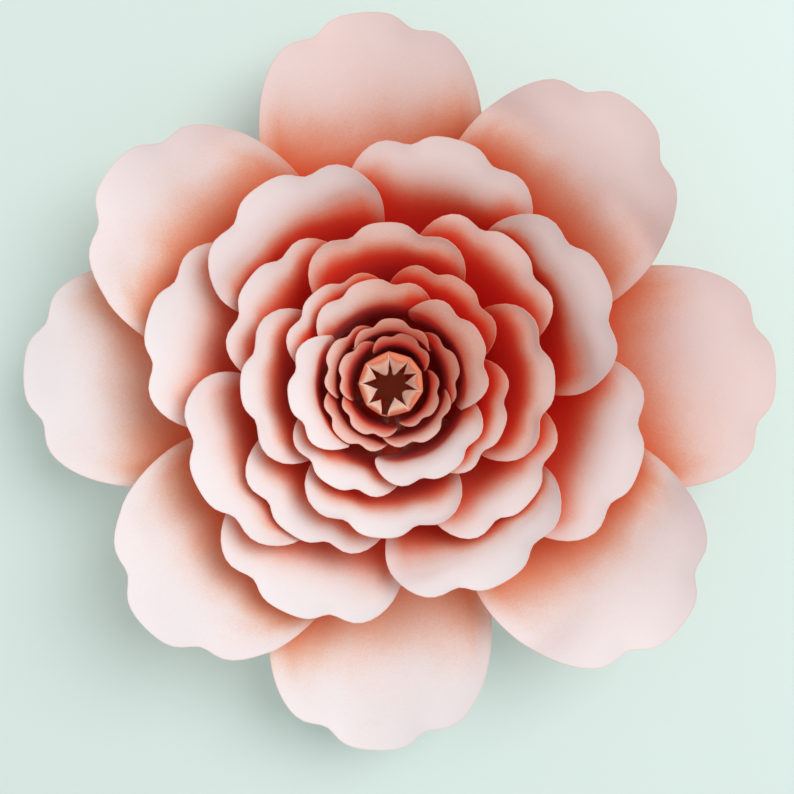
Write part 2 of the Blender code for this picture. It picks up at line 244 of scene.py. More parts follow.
# Each is a low and a high value of what is read, and then what is given at the low one and at the high one
CLOUD_SHIFT = (0.25, 0.75, -0.025, 0.025)
GRAIN_SHIFT = (0.3, 0.7, -0.022, 0.022)
# The next four paint shade: deeper, duskier and pinker on the side whose petals face away from the lamp, and
# duskier near the middle
SIDE_TO_DEEPER_SHADE = (-0.10, 0.06, 0.95, 1.15)
SIDE_TO_DUSKY_SHADE = (-0.01, 0.05, 0.0, 0.30)
SIDE_TO_SHADE_PINK = (-0.10, 0.16, 0.0, 1.0)
DISTANCE_TO_SHADED_HEART = (0.13, 0.19, 1.0, 0.0)
EDGE_TO_OUTLINE_TINT = (0.0, 0.0012, 0.30, 0.0)
FIBRE_TO_PALE = (0.62, 0.78, 0.0, 0.10)
TOOTH_TO_ROUGHNESS = (0.3, 0.7, 0.58, 0.78)
BOARD_TO_ROUGHNESS = (0.3, 0.7, 0.7, 0.9)

# The share of the painted shade that is left along the rim, and how far in it stays so, as a share of the pale
# band
RIM_SHADE = 0.50
RIM_START = 0.25

# The side of the flower whose petals face away from the lamp, where shade is painted on: the card is painted
# pinker there and the shade in its folds deeper, and that pink
SHADED_SIDE = (0.64, 0.77, 0.0)
SHADED_SIDE_PINK = (242, 224, 219)

# The tint along the outline, the fibres, the red painted on the board under the bud as shade, and the board's
# own colours
OUTLINE_TINT = (238, 176, 150)
PALE_FIBRE = (252, 240, 234)
UNDER_BUD_SHADE = (255, 160, 122)
UNDER_BUD_SHADE_BAND = 0.002
BOARD_STOPS = ((0.3, (214, 196, 186)), (0.7, (230, 214, 205)))

# The card's sheen, and its bumps as a strength and a height
SPECULAR = 0.30
SHEEN = 0.08
SHEEN_ROUGHNESS = 0.5
DENT_BUMP = (0.30, 0.012)
CARD_BUMP = (0.20, 0.0002)
BOARD_BUMP = (0.25, 0.0002)

# Each kind of card: its painted shade, as colours from deep in a fold to the open, and how wide a band at its
# rim has less of it
Look = namedtuple("Look", "name stops pale_rim")
OUTER_LOOK = Look(
    "outer_card",
    (
        (0.06, (250, 56, 26)), (0.24, (248, 66, 32)), (0.42, (243, 92, 50)), (0.56, (241, 124, 80)),
        (0.68, (240, 150, 112)), (0.80, (244, 190, 164)), (0.89, (248, 224, 215)), (0.97, (249, 241, 242)),
    ),
    0.016,
)
PETAL_LOOK = Look(
    "petal_card",
    (
        (0.06, (250, 54, 26)), (0.22, (247, 62, 32)), (0.35, (244, 88, 54)), (0.48, (243, 128, 96)),
        (0.60, (244, 170, 146)), (0.71, (247, 206, 192)), (0.83, (249, 230, 226)), (0.96, (249, 241, 242)),
    ),
    0.016,
)
# The inner rings' card is a darker copy of the others, painted with the shade of the sunken middle
SHADED_INNER_LOOK = Look(
    "inner_shaded_card",
    (
        (0.06, (250, 56, 30)), (0.26, (244, 72, 44)), (0.42, (232, 108, 80)), (0.60, (226, 142, 118)),
        (0.78, (233, 178, 160)), (0.93, (245, 214, 204)),
    ),
    0.005,
)
# The bud's painted shade: salmon down its wall, darker at the folds, cream towards its tabs' ends
BUD_LOOK = Look(
    "bud_card",
    (
        (0.36, (253, 160, 124)), (0.41, (218, 116, 84)), (0.50, (228, 150, 118)), (0.62, (241, 204, 180)),
        (0.85, (248, 230, 215)),
    ),
    0.002,
)
RING_LOOKS = {
    "ring1": OUTER_LOOK, "ring2": PETAL_LOOK, "ring3": PETAL_LOOK,
    "ring4": PETAL_LOOK, "ring5": SHADED_INNER_LOOK, "ring6": SHADED_INNER_LOOK,
}

# The floor, the soft lamp and the camera straight above the flower
FLOOR_REACH = 4.0
FLOOR_COLOUR = (226, 243, 237)
FLOOR_ROUGHNESS = 0.6
WORLD_STRENGTH = 0.60
Lamp = namedtuple("Lamp", "azimuth elevation distance size power")
KEY = Lamp(30.0, 52.0, 4.5, 3.4, 100.0)
LIT_POINT = (0.0, 0.0, 0.04)
SENSOR_WIDTH = 36.0
LENS = 49.89
CAMERA_PLACE = (0.0044, -0.0095, 0.88)


def smooth(t):
    """0 below 0, 1 above 1, with a smooth rise between."""
    t = np.clip(t, 0.0, 1.0)
    return t * t * (3.0 - 2.0 * t)


def unit(vectors):
    """The vectors, each made one long."""
    return vectors / np.maximum(np.linalg.norm(vectors, axis=-1, keepdims=True), TINY)


class Template:
    """The flat outline of a ring's petals: w across, s along from the foot's inner end."""

    def __init__(self, ring, longer):
        self.ring = ring
        self.radius = ring.width / 2
        self.middle = ring.length + longer - self.radius
        foot = ring.foot_width / 2
        reach = math.hypot(foot, self.middle)
        self.side = math.pi - math.atan2(foot, self.middle) - math.acos(self.radius / reach)
        self.outward = np.array([math.sin(self.side), math.cos(self.side)])
        self.foot_corner = np.array([foot, 0.0])
        self.touch = np.array([0.0, self.middle]) + self.radius * self.outward

    def rim(self, angle):
        """Distance from the blade's middle to the rim: a notch and a fuller corner on each side."""
        degrees = np.degrees(np.abs(angle))
        notch = (degrees - NOTCH_ANGLE) / NOTCH_SPREAD
        corner = (degrees - CORNER_ANGLE) / CORNER_SPREAD
        fuller = self.ring.corner * np.exp(-corner * corner)
        return self.radius + fuller - self.ring.notch * np.exp(-notch * notch)

    def column(self, angle, along):
        """Flat place of a point on a column that fans from the foot, along 0, to the rim, along 1."""
        across = angle / self.side
        rim = self.rim(angle)
        end = np.array([rim * np.sin(angle), self.middle + rim * np.cos(angle)])
        start = np.array([across * self.foot_corner[0], np.zeros_like(across)])
        half_way = 0.5 * (self.foot_corner + self.touch)
        turn = np.array([across * half_way[0], half_way[1] * np.ones_like(across)])
        rest = 1.0 - along
        return start * rest * rest + 2 * turn * rest * along + end * along * along

    def up_column(self, angle):
        """Points up a grid column, and how far from the axis each lies while the petal is flat."""
        along = np.linspace(0.0, 1.0, COLUMN_POINTS)
        w, s = self.column(np.full(COLUMN_POINTS, angle), along)
        return along, np.hypot(self.ring.start + s, w)

    def flat(self, turn):
        """Flat places of the grid, rows by columns. The lower rows are arcs round the axis."""
        ring = self.ring
        foot = np.linspace(ring.start, turn, FOOT_ROWS + 1)[1:]
        bend = np.linspace(turn, turn + ring.bend, BEND_ROWS + 1)[1:]
        along, reach = self.up_column(0.0)
        roll, edge = reach[-1] - ring.band, reach[-1] - ring.edge_band
        over = np.linspace(roll, edge, ROLL_ROWS + 1)
        last = np.linspace(edge, reach[-1], EDGE_ROWS + 1)[1:]
        low, high = np.interp(bend[-1], reach, along), np.interp(np.append(over, last), reach, along)
        high = np.maximum((high - low) / (1.0 - low), LEAST_BLADE)
        blade = high[0] * np.linspace(0.0, 1.0, BLADE_ROWS + 1)[1:-1]
        upper = np.concatenate([blade, high])
        places = []
        for angle in np.linspace(-self.side, self.side, ring.columns + 1):
            along, reach = self.up_column(angle)
            lower = np.interp(np.concatenate([foot, bend]), reach, along)
            rows = np.concatenate([[0.0], lower, lower[-1] + (1.0 - lower[-1]) * upper])
            places.append(self.column(np.full(len(rows), angle), rows))
        return np.array(places).transpose(1, 2, 0)

    def edge(self, w, s):
        """Distance to the outline, and the flat direction towards it."""
        angle = np.arctan2(np.abs(w), s - self.middle)
        on_blade = angle <= self.side
        from_rim = self.rim(angle) - np.hypot(w, s - self.middle)
        from_flank = (self.foot_corner[0] - np.abs(w)) * self.outward[0] - s * self.outward[1]
        distance = np.where(on_blade, from_rim, from_flank)
        out_w = np.where(on_blade, np.sin(angle), self.outward[0]) * np.sign(w)
        out_s = np.where(on_blade, np.cos(angle), self.outward[1])
        return np.maximum(distance, 0.0), out_w, out_s


class Bowl:
    """The round bowl that a petal follows: its radius, height and slope along a line from the axis."""

    def __init__(self, ring, petal, turn, seat):
        end = ring.start + ring.length + petal.longer
        self.turn = turn
        self.along = np.linspace(0.0, BOWL_MARGIN * end, BOWL_POINTS)
        step = self.along[1]
        turned_up = smooth((self.along - turn) / ring.bend)
        over = np.clip((self.along - end + ring.band) / ring.band, 0.0, None)
        rolled = over * over * (2.0 - np.minimum(over, ROLL_EVEN))
        self.slope = np.radians(petal.rise * turned_up - ring.roll * rolled)
        self.straighter = 1.0 + STRAIGHTER * smooth(over)
        self.radius = step * (np.cumsum(np.cos(self.slope)) - np.cos(self.slope))
        self.height = seat + step * (np.cumsum(np.sin(self.slope)) - np.sin(self.slope))

    def space(self, others):
        """At each point along this bowl, how far it is to the nearest of the other bowls."""
        nearest = np.full(BOWL_POINTS, np.inf)
        for other in others:
            apart = np.hypot(
                self.radius[:, None] - other.radius[None, :], self.height[:, None] - other.height[None, :]
            )
            nearest = np.minimum(nearest, apart.min(axis=1))
        return nearest


class Sheet:
    """One petal's bent surface in its own frame: X outwards, Y across, Z up."""

    def __init__(self, ring, longer, bowl, inside, outside):
        self.ring = ring
        self.template = Template(ring, longer)
        self.bowl = bowl
        self.inside = inside
        self.outside = outside

    def base(self, w, s):
        """The bent sheet before its rim is rolled: laid round its bowl, with its sides lifted."""
        ring, bowl = self.ring, self.bowl
        straight = ring.start + s
        flat = 1.0 - smooth((straight - bowl.turn) / max(2 * ring.bend, LEAST_WRAP))
        along = straight + flat * (np.hypot(straight, w) - straight)
        radius = np.interp(along, bowl.along, bowl.radius)
        height = np.interp(along, bowl.along, bowl.height)
        slope = np.interp(along, bowl.along, bowl.slope)
        wrap = radius * np.interp(along, bowl.along, bowl.straighter)
        turn = flat * np.arctan2(w, straight) + (1.0 - flat) * w / wrap
        room = np.maximum(np.interp(along, bowl.along, self.inside), FLAT_STEP)
        grown = smooth((straight - bowl.turn) / ring.bend)
        lift = grown * room * (1.0 - np.exp(-ring.cup * (w / self.template.radius) ** 2 / room))
        out = wrap - np.sin(slope) * lift
        ahead = radius - wrap + out * np.cos(turn)
        return np.array([ahead, out * np.sin(turn), height + np.cos(slope) * lift])

    def place(self, w, s):
        """The finished surface: the base with a band along its rim rolled outwards."""
        ring = self.ring
        distance, out_w, out_s = self.template.edge(w, s)
        past = np.maximum(ring.edge_band - distance, 0.0)
        point = self.base(w, s)
        ahead = self.base(w + FLAT_STEP * out_w, s + FLAT_STEP * out_s) - point
        aside = self.base(w + FLAT_STEP * out_s, s - FLAT_STEP * out_w) - point
        onwards = ahead / np.linalg.norm(ahead, axis=0)
        inner = np.cross(aside, onwards, axis=0)
        inner /= np.linalg.norm(inner, axis=0)
        fade = smooth((s - self.template.middle / 2) / (self.template.middle / 2))
        curl = np.maximum(fade * math.radians(ring.edge_roll) / ring.edge_band, LEAST_CURL)
        back = (1.0 - np.cos(curl * past)) / curl
        room = np.interp(ring.start + s, self.bowl.along, self.outside)
        sideways = smooth((np.abs(out_w) - SIDE_START) / SIDE_SPAN)
        limited = room * (1.0 - np.exp(-back / room))
        back = back + sideways * (limited - back)
        return point + onwards * (np.sin(curl * past) / curl - past) - inner * back


def turned(points, degrees):
    """Points, in the last axis, turned round Z."""
    angle = math.radians(degrees)
    x, y, z = points[..., 0], points[..., 1], points[..., 2]
    return np.stack(
        [x * math.cos(angle) - y * math.sin(angle), x * math.sin(angle) + y * math.cos(angle), z], axis=-1
    )


def half_foot(ring):
    """Half the angle that the foot of a ring's petal takes up round the axis."""
    return math.degrees(math.atan2(ring.foot_width / 2, ring.start))


def seat_over(placed, ring, azimuth):
    """Height of a foot's underside: over the highest of the feet laid before it that it crosses."""
    under = BACKING_THICKNESS
    for other_ring, other_azimuth, other_seat in placed:
        apart = abs((azimuth - other_azimuth + 180.0) % 360.0 - 180.0)
        if apart < half_foot(ring) + half_foot(other_ring) + FEET_APART:
            under = max(under, other_seat + CARD)
    return under + GLUE_GAP


def turning_radii():
    """How far from the axis each ring's petals leave the backing, by the ring's name."""
    turns = {}
    turn = BUD_RADIUS
    for ring in reversed(RINGS):
        turn += ring.apart
        turns[ring.name] = turn
    return turns


def layered_bowls(turns):
    """Each layer from the outside in, as its ring and its petals' bowls, then the top of the feet."""
    layers = []
    placed = []
    for ring in RINGS:
        for layer in range(LAYERS):
            bowls = {}
            for number, petal in enumerate(PETALS[ring.name], start=1):
                if petal.layer == layer:
                    seat = seat_over(placed, ring, petal.azimuth)
                    placed.append((ring, petal.azimuth, seat))
                    bowls[number] = Bowl(ring, petal, turns[ring.name] - layer * LAYER_STEP, seat)
            if bowls:
                layers.append((ring, bowls))
    return layers, CARD + max(seat for _, _, seat in placed)


def spare(bowl, others):
    """The part of the space to the other bowls that one petal may bend into."""
    if not others:
        return np.full(BOWL_POINTS, OPEN_SPACE)
    return SPACE_SHARE * np.maximum(bowl.space(others) - CARD - GLUE_GAP, 0.0)


Card = namedtuple("Card", "name ring under upper normals edge")


def petal_cards():
    """Every petal's two faces as grids of points, with the distance of each point to the outline."""
    cards = []
    layers, top = layered_bowls(turning_radii())
    for index, (ring, bowls) in enumerate(layers):
        inner = list(layers[index + 1][1].values()) if index + 1 < len(layers) else []
        outer = list(layers[index - 1][1].values()) if index else []
        for number, bowl in bowls.items():
            petal = PETALS[ring.name][number - 1]
            outside = np.maximum(spare(bowl, outer), FLAT_STEP)
            sheet = Sheet(ring, petal.longer, bowl, spare(bowl, inner), outside)
            flat = sheet.template.flat(bowl.turn)
            w, s = flat
            under = turned(np.moveaxis(sheet.place(w, s), 0, -1), petal.azimuth)
            normals = unit(np.cross(np.gradient(under, axis=1), np.gradient(under, axis=0)))
            normals *= np.sign(normals[0, under.shape[1] // 2, 2])
            edge = sheet.template.edge(w, s)[0]
            name = f"{ring.name}_petal_{number}"
            cards.append(Card(name, ring, under, under + CARD * normals, normals, edge))
    return cards, top


def quads_of(index):
    """Faces of a grid of vertex numbers."""
    return np.stack([index[:-1, :-1], index[:-1, 1:], index[1:, 1:], index[1:, :-1]], axis=-1).reshape(-1, 4)


def loop_of(index):
    """The vertex numbers round a grid's border, in order."""
    return np.concatenate([index[0, :-1], index[:-1, -1], index[-1, :0:-1], index[:0:-1, 0]])


def ray_directions():
    """Directions spread over the half space round +Z, closer together near it."""
    golden_angle = math.pi * (3.0 - math.sqrt(5.0))
    k = np.arange(RAYS) + 0.5
    height = np.sqrt(1.0 - k / RAYS)
    turn = k * golden_angle
    side = np.sqrt(1.0 - height * height)
    return np.stack([side * np.cos(turn), side * np.sin(turn), height], axis=-1)


def scene_tree(cards, extra):
    """What the rays can meet: the middle of every card, and the extra (points, faces)."""
    points, faces, count = [], [], 0
    for card in cards:
        grid = (0.5 * (card.under + card.upper))[::TREE_STEP, ::TREE_STEP]
        index = count + np.arange(grid.shape[0] * grid.shape[1]).reshape(grid.shape[:2])
        points.append(grid.reshape(-1, 3))
        faces.append(quads_of(index))
        count += index.size
    for more_points, more_faces in extra:
        points.append(np.array(more_points))
        faces.append(np.array(more_faces) + count)
        count += len(more_points)
    vertices = [Vector(p) for p in np.concatenate(points)]
    return BVHTree.FromPolygons(vertices, [tuple(int(i) for i in f) for f in np.concatenate(faces)])


def openness_at(tree, points, normals, directions):
    """How open each point is to what lies before it, from 0 deep in a fold to 1 in the open."""
    helper = np.where(np.abs(normals[:, 2:3]) < NEARLY_UP, [[0.0, 0.0, 1.0]], [[1.0, 0.0, 0.0]])
    tangent = unit(np.cross(helper, normals))
    other = np.cross(normals, tangent)
    result = np.empty(len(points))
    for k, (point, normal, t, o) in enumerate(zip(points, normals, tangent, other)):
        rays = directions[:, 0:1] * t + directions[:, 1:2] * o + directions[:, 2:3] * normal
        start = Vector(point + RAY_START * normal)
        total = 0.0
        for ray in rays:
            distance = tree.ray_cast(start, Vector(ray), RAY_REACH)[3]
            total += 1.0 if distance is None else distance / RAY_REACH
        result[k] = total / RAYS
    return result


def openness_of(card, tree, directions, side):
    """The openness over one face of a card, worked out on a coarse grid and spread over the fine one."""
    rows, columns = card.under.shape[:2]
    r = np.unique(np.append(np.arange(0, rows, SHADE_STEP), rows - 1))
    c = np.unique(np.append(np.arange(0, columns, SHADE_STEP), columns - 1))
    grid = (card.upper if side > 0 else card.under)[np.ix_(r, c)]
    normals = side * card.normals[np.ix_(r, c)]
    value = openness_at(tree, grid.reshape(-1, 3), normals.reshape(-1, 3), directions)
    value = value.reshape(len(r), len(c))
    wide = np.pad(value, 1, mode="edge")
    around = (wide[:-2, 1:-1] + wide[2:, 1:-1] + wide[1:-1, :-2] + wide[1:-1, 2:]) / 4
    value = SHADE_OWN * value + (1.0 - SHADE_OWN) * around
    down = np.array([np.interp(np.arange(rows), r, value[:, k]) for k in range(len(c))])
    return np.array([np.interp(np.arange(columns), c, down[:, k]) for k in range(rows)])


def build_card(card, open_upper, open_under, material):
    """The closed mesh of one petal, with its openness, which sets its painted shade, and distance to the
    outline on its points.
    """
    rows, columns = card.under.shape[:2]
    upper = np.arange(rows * columns).reshape(rows, columns)
    under = upper + rows * columns
    points = np.concatenate([card.upper.reshape(-1, 3), card.under.reshape(-1, 3)])
    a, b = loop_of(upper), loop_of(under)
    rim = np.stack([a, b, np.roll(b, -1), np.roll(a, -1)], axis=-1)
    faces = np.concatenate([quads_of(upper), quads_of(under)[:, ::-1], rim])
    p = points[faces[: (rows - 1) * (columns - 1)]]
    facing = np.cross(p[:, 1] - p[:, 0], p[:, 2] - p[:, 0])
    if (facing * (points[faces[: len(p), 0]] - points[faces[: len(p), 0] + rows * columns])).sum() < 0:
        faces = faces[:, ::-1]
    mesh = bpy.data.meshes.new(card.name + "_card")
    mesh.from_pydata(points.tolist(), [], faces.tolist())
    mesh.shade_smooth()
    values = np.concatenate([open_upper.ravel(), open_under.ravel()])
    mesh.attributes.new("openness", "FLOAT", "POINT").data.foreach_set("value", values)
    edge = np.concatenate([card.edge.ravel(), card.edge.ravel()])
    mesh.attributes.new("edge_distance", "FLOAT", "POINT").data.foreach_set("value", edge)
    border = np.zeros(len(points), bool)
    border[np.concatenate([a, b])] = True
    ends = np.empty(2 * len(mesh.edges), np.int32)
    mesh.edges.foreach_get("vertices", ends)
    ends = ends.reshape(-1, 2)
    same_side = (ends[:, 0] < rows * columns) == (ends[:, 1] < rows * columns)
    sharp = border[ends[:, 0]] & border[ends[:, 1]] & same_side
    mesh.attributes.new("sharp_edge", "BOOLEAN", "EDGE").data.foreach_set("value", sharp)
    mesh.materials.append(material)
    obj = bpy.data.objects.new(card.name + "_card", mesh)
    bpy.context.scene.collection.objects.link(obj)
    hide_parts(card.name)
    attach(obj, "root")


def polar(radius, degrees, height):
    """A point at a radius from the axis, at an angle round it and at a height."""
    angle = math.radians(degrees)
    return np.array([radius * math.cos(angle), radius * math.sin(angle), height])


def bud_columns(corners):
    """Places round the bud, at no height: straight from tab to tab, and a little rounded."""
    columns = []
    for first, second in zip(corners, corners[1:]):
        a, b = polar(BUD_RADIUS, first, 0.0), polar(BUD_RADIUS, second, 0.0)
        for k in range(TAB_COLUMNS):
            share = k / TAB_COLUMNS
            flat = a + share * (b - a)
            rounded = polar(BUD_RADIUS, first + share * (second - first), 0.0)
            columns.append(WALL_FLATNESS * flat + (1.0 - WALL_FLATNESS) * rounded)
    return columns


def tab_rows(tab, base, middle, top):
    """Rows of (place, openness, distance to the edge) from a tab's fold to its end, over its base places."""
    inwards = -polar(1.0, middle, 0.0)
    sideways = polar(1.0, middle + 90.0, 0.0)
    start = base[TAB_COLUMNS // 2]
    half = 0.5 * float(np.linalg.norm(base[-1] - base[0]))
    pointed = tab.end_width < POINTED_END
    taper_power = POINTED_TAPER if pointed else BLUNT_TAPER
    rounding = POINTED_ROUNDING if pointed else BLUNT_ROUNDING
    rows = []
    for step in range(1, TAB_STEPS + 1):
        share = step / TAB_STEPS
        taper = share ** taper_power
        width = half * (1 - taper) + 0.5 * tab.end_width * taper
        arch = ARCH_HEIGHT * math.sin(math.pi * min(1.0, share / ARCH_END))
        drop = TAB_DROP * share ** DROP_POWER - arch
        row = []
        for i in range(TAB_COLUMNS + 1):
            side = 2.0 * i / TAB_COLUMNS - 1.0
            along = tab.length * (1.0 - rounding * side * side * share) * share
            bulge = TAB_BULGE * (1.0 - side * side) * math.sin(math.pi * share)
            from_fold = base[i] - start - sideways * half * side
            place = start + inwards * along + sideways * width * side + from_fold * (1.0 - share)
            place[2] = top - drop + bulge
            paler = TAB_MIDDLE_OPEN + (1.0 - TAB_MIDDLE_OPEN) * abs(side)
            openness = FOLD_OPEN + TIP_OPEN * smooth(share / TIP_OPEN_AT) * paler
            row.append((place, float(openness), min(half * (1.0 - abs(side)), FAR_FROM_EDGE)))
        rows.append(row)
    return rows


def build_bud(seat, material):
    """The rolled strip with its top cut into tabs, each creased over and tapering towards the axis."""
    top = seat + BUD_HEIGHT
    corners = [tab.corner for tab in TABS] + [TABS[0].corner + 360.0]
    bm = bmesh.new()
    # The openness on the bud's points sets the shade painted on them
    open_layer = bm.verts.layers.float.new("openness")
    edge_layer = bm.verts.layers.float.new("edge_distance")

    def vertex(place, openness, edge):
        made = bm.verts.new(Vector(place))
        made[open_layer] = openness
        made[edge_layer] = edge
        return made

    def quads(grid):
        for first, second in zip(grid, grid[1:]):
            for i in range(len(first) - 1):
                bm.faces.new((first[i], first[i + 1], second[i + 1], second[i]))

    columns = bud_columns(corners)
    wall = []
    for level in WALL_LEVELS:
        height = [0, 0, seat + level * (top - seat)]
        openness = WALL_OPEN + WALL_TOP_OPEN * level ** WALL_OPEN_POWER
        wall.append([vertex(place + height, openness, FAR_FROM_EDGE) for place in columns])
    quads([row + [row[0]] for row in wall])
    rim = wall[-1]
    for k, tab in enumerate(TABS):
        if tab.length:
            fold = [rim[(k * TAB_COLUMNS + i) % len(rim)] for i in range(TAB_COLUMNS + 1)]
            base = [np.array(made.co) for made in fold]
            rows = tab_rows(tab, base, 0.5 * (corners[k] + corners[k + 1]), top)
            quads([fold] + [[vertex(*point) for point in row] for row in rows])
    bm.normal_update()
    mesh = bpy.data.meshes.new("centre_bud_card")
    bm.to_mesh(mesh)
    bm.free()
    mesh.shade_smooth()
    mesh.materials.append(material)
    obj = bpy.data.objects.new("centre_bud_card", mesh)
    bpy.context.scene.collection.objects.link(obj)
    solid = obj.modifiers.new("card", "SOLIDIFY")
    solid.thickness = CARD
    solid.offset = -1.0
    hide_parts("centre_bud")
    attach(obj, "root")


def build_backing(material):
    """The round backing with its cut edge slightly eased."""
    radius = max(turning_radii().values()) + BACKING_MARGIN
    bm = bmesh.new()
    bmesh.ops.create_cone(
        bm, cap_ends=True, segments=BACKING_SIDES, radius1=radius, radius2=radius, depth=BACKING_THICKNESS
    )
    bmesh.ops.translate(bm, verts=bm.verts, vec=(0.0, 0.0, BACKING_THICKNESS / 2))
    edges = [e for e in bm.edges if abs(e.verts[0].co.z - e.verts[1].co.z) < LEVEL_WITHIN]
    bmesh.ops.bevel(bm, geom=edges, offset=BACKING_EASE, segments=EASE_STEPS, affect="EDGES")
    mesh = bpy.data.meshes.new("backing_disc_card")
    bm.to_mesh(mesh)
    bm.free()
    mesh.materials.append(material)
    obj = bpy.data.objects.new("backing_disc_card", mesh)
    bpy.context.scene.collection.objects.link(obj)
    for polygon in mesh.polygons:
        polygon.use_smooth = polygon.area < SMALL_FACE
    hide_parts("backing_disc")
    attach(obj, "root")


def linear(red, green, blue):
    """A colour written as it looks on a screen, 0 to 255, as Blender takes it."""
    values = np.array([red, green, blue]) / 255.0
    bright = ((values + SCREEN_OFFSET) / (1.0 + SCREEN_OFFSET)) ** SCREEN_POWER
    values = np.where(values <= SCREEN_KNEE, values / SCREEN_SLOPE, bright)
    return (*values, 1.0)


def ramp(nodes, stops):
    """A ramp that runs softly through the colours of the stops."""
    node = nodes.new("ShaderNodeValToRGB")
    node.color_ramp.interpolation = "B_SPLINE"
    elements = node.color_ramp.elements
    elements[0].position, elements[0].color = stops[0][0], linear(*stops[0][1])
    elements[1].position, elements[1].color = stops[-1][0], linear(*stops[-1][1])
    for position, colour in stops[1:-1]:
        elements.new(position).color = linear(*colour)
    return node


def noise(nodes, links, coordinates, pattern):
    """A pattern's value at each place, about 0.5 on average."""
    node = nodes.new("ShaderNodeTexNoise")
    node.inputs["Scale"].default_value = pattern.scale
    node.inputs["Detail"].default_value = pattern.detail
    node.inputs["Roughness"].default_value = pattern.roughness
    links.new(coordinates, node.inputs["Vector"])
    return node.outputs[0]


def math_node(nodes, links, operation, first, second):
    """A sum, difference or product of two values, each a plain number or an output."""
    node = nodes.new("ShaderNodeMath")
    node.operation = operation
    for socket, value in zip(node.inputs, (first, second)):
        if isinstance(value, (int, float)):
            socket.default_value = value
        else:
            links.new(value, socket)
    return node.outputs[0]


def mixed(nodes, links, factor, first, second, blend="MIX"):
    """The second colour laid over the first by a factor. The node has its colours at 6 and 7, and gives 2."""
    node = nodes.new("ShaderNodeMix")
    node.data_type = "RGBA"
    node.blend_type = blend
    for socket, value in ((node.inputs[0], factor), (node.inputs[6], first), (node.inputs[7], second)):
        if isinstance(value, (int, float, tuple)):
            socket.default_value = value
        else:
            links.new(value, socket)
    return node.outputs[2]


def ranged(nodes, links, value, mapping):
    """A value taken from one range to another: mapping is low, high, and what each becomes."""
    node = nodes.new("ShaderNodeMapRange")
    for name, number in zip(("From Min", "From Max", "To Min", "To Max"), mapping):
        node.inputs[name].default_value = number
    links.new(value, node.inputs["Value"])
    return node.outputs[0]


def measured(nodes, links, operation, place, other=(0.0, 0.0, 0.0)):
    """The number that a vector operation makes of a place."""
    node = nodes.new("ShaderNodeVectorMath")
    node.operation = operation
    node.inputs[1].default_value = other
    links.new(place, node.inputs[0])
    return node.outputs["Value"]


def point_value(nodes, name):
    """What the mesh's points say under a name."""
    node = nodes.new("ShaderNodeAttribute")
    node.attribute_name = name
    return node.outputs["Fac"]


def bumped(nodes, links, height, bump, normal=None):
    """A surface direction bumped by a height, over another direction where one is given."""
    node = nodes.new("ShaderNodeBump")
    node.inputs["Strength"].default_value, node.inputs["Distance"].default_value = bump
    links.new(height, node.inputs["Height"])
    if normal is not None:
        links.new(normal, node.inputs["Normal"])
    return node.outputs[0]


def new_material(name):
    """A material with its nodes, links, shader and the object's own coordinates."""
    material = bpy.data.materials.new(name)
    material.use_nodes = True
    nodes = material.node_tree.nodes
    place = nodes.new("ShaderNodeTexCoord").outputs["Object"]
    return material, nodes, material.node_tree.links, nodes["Principled BSDF"].inputs, place


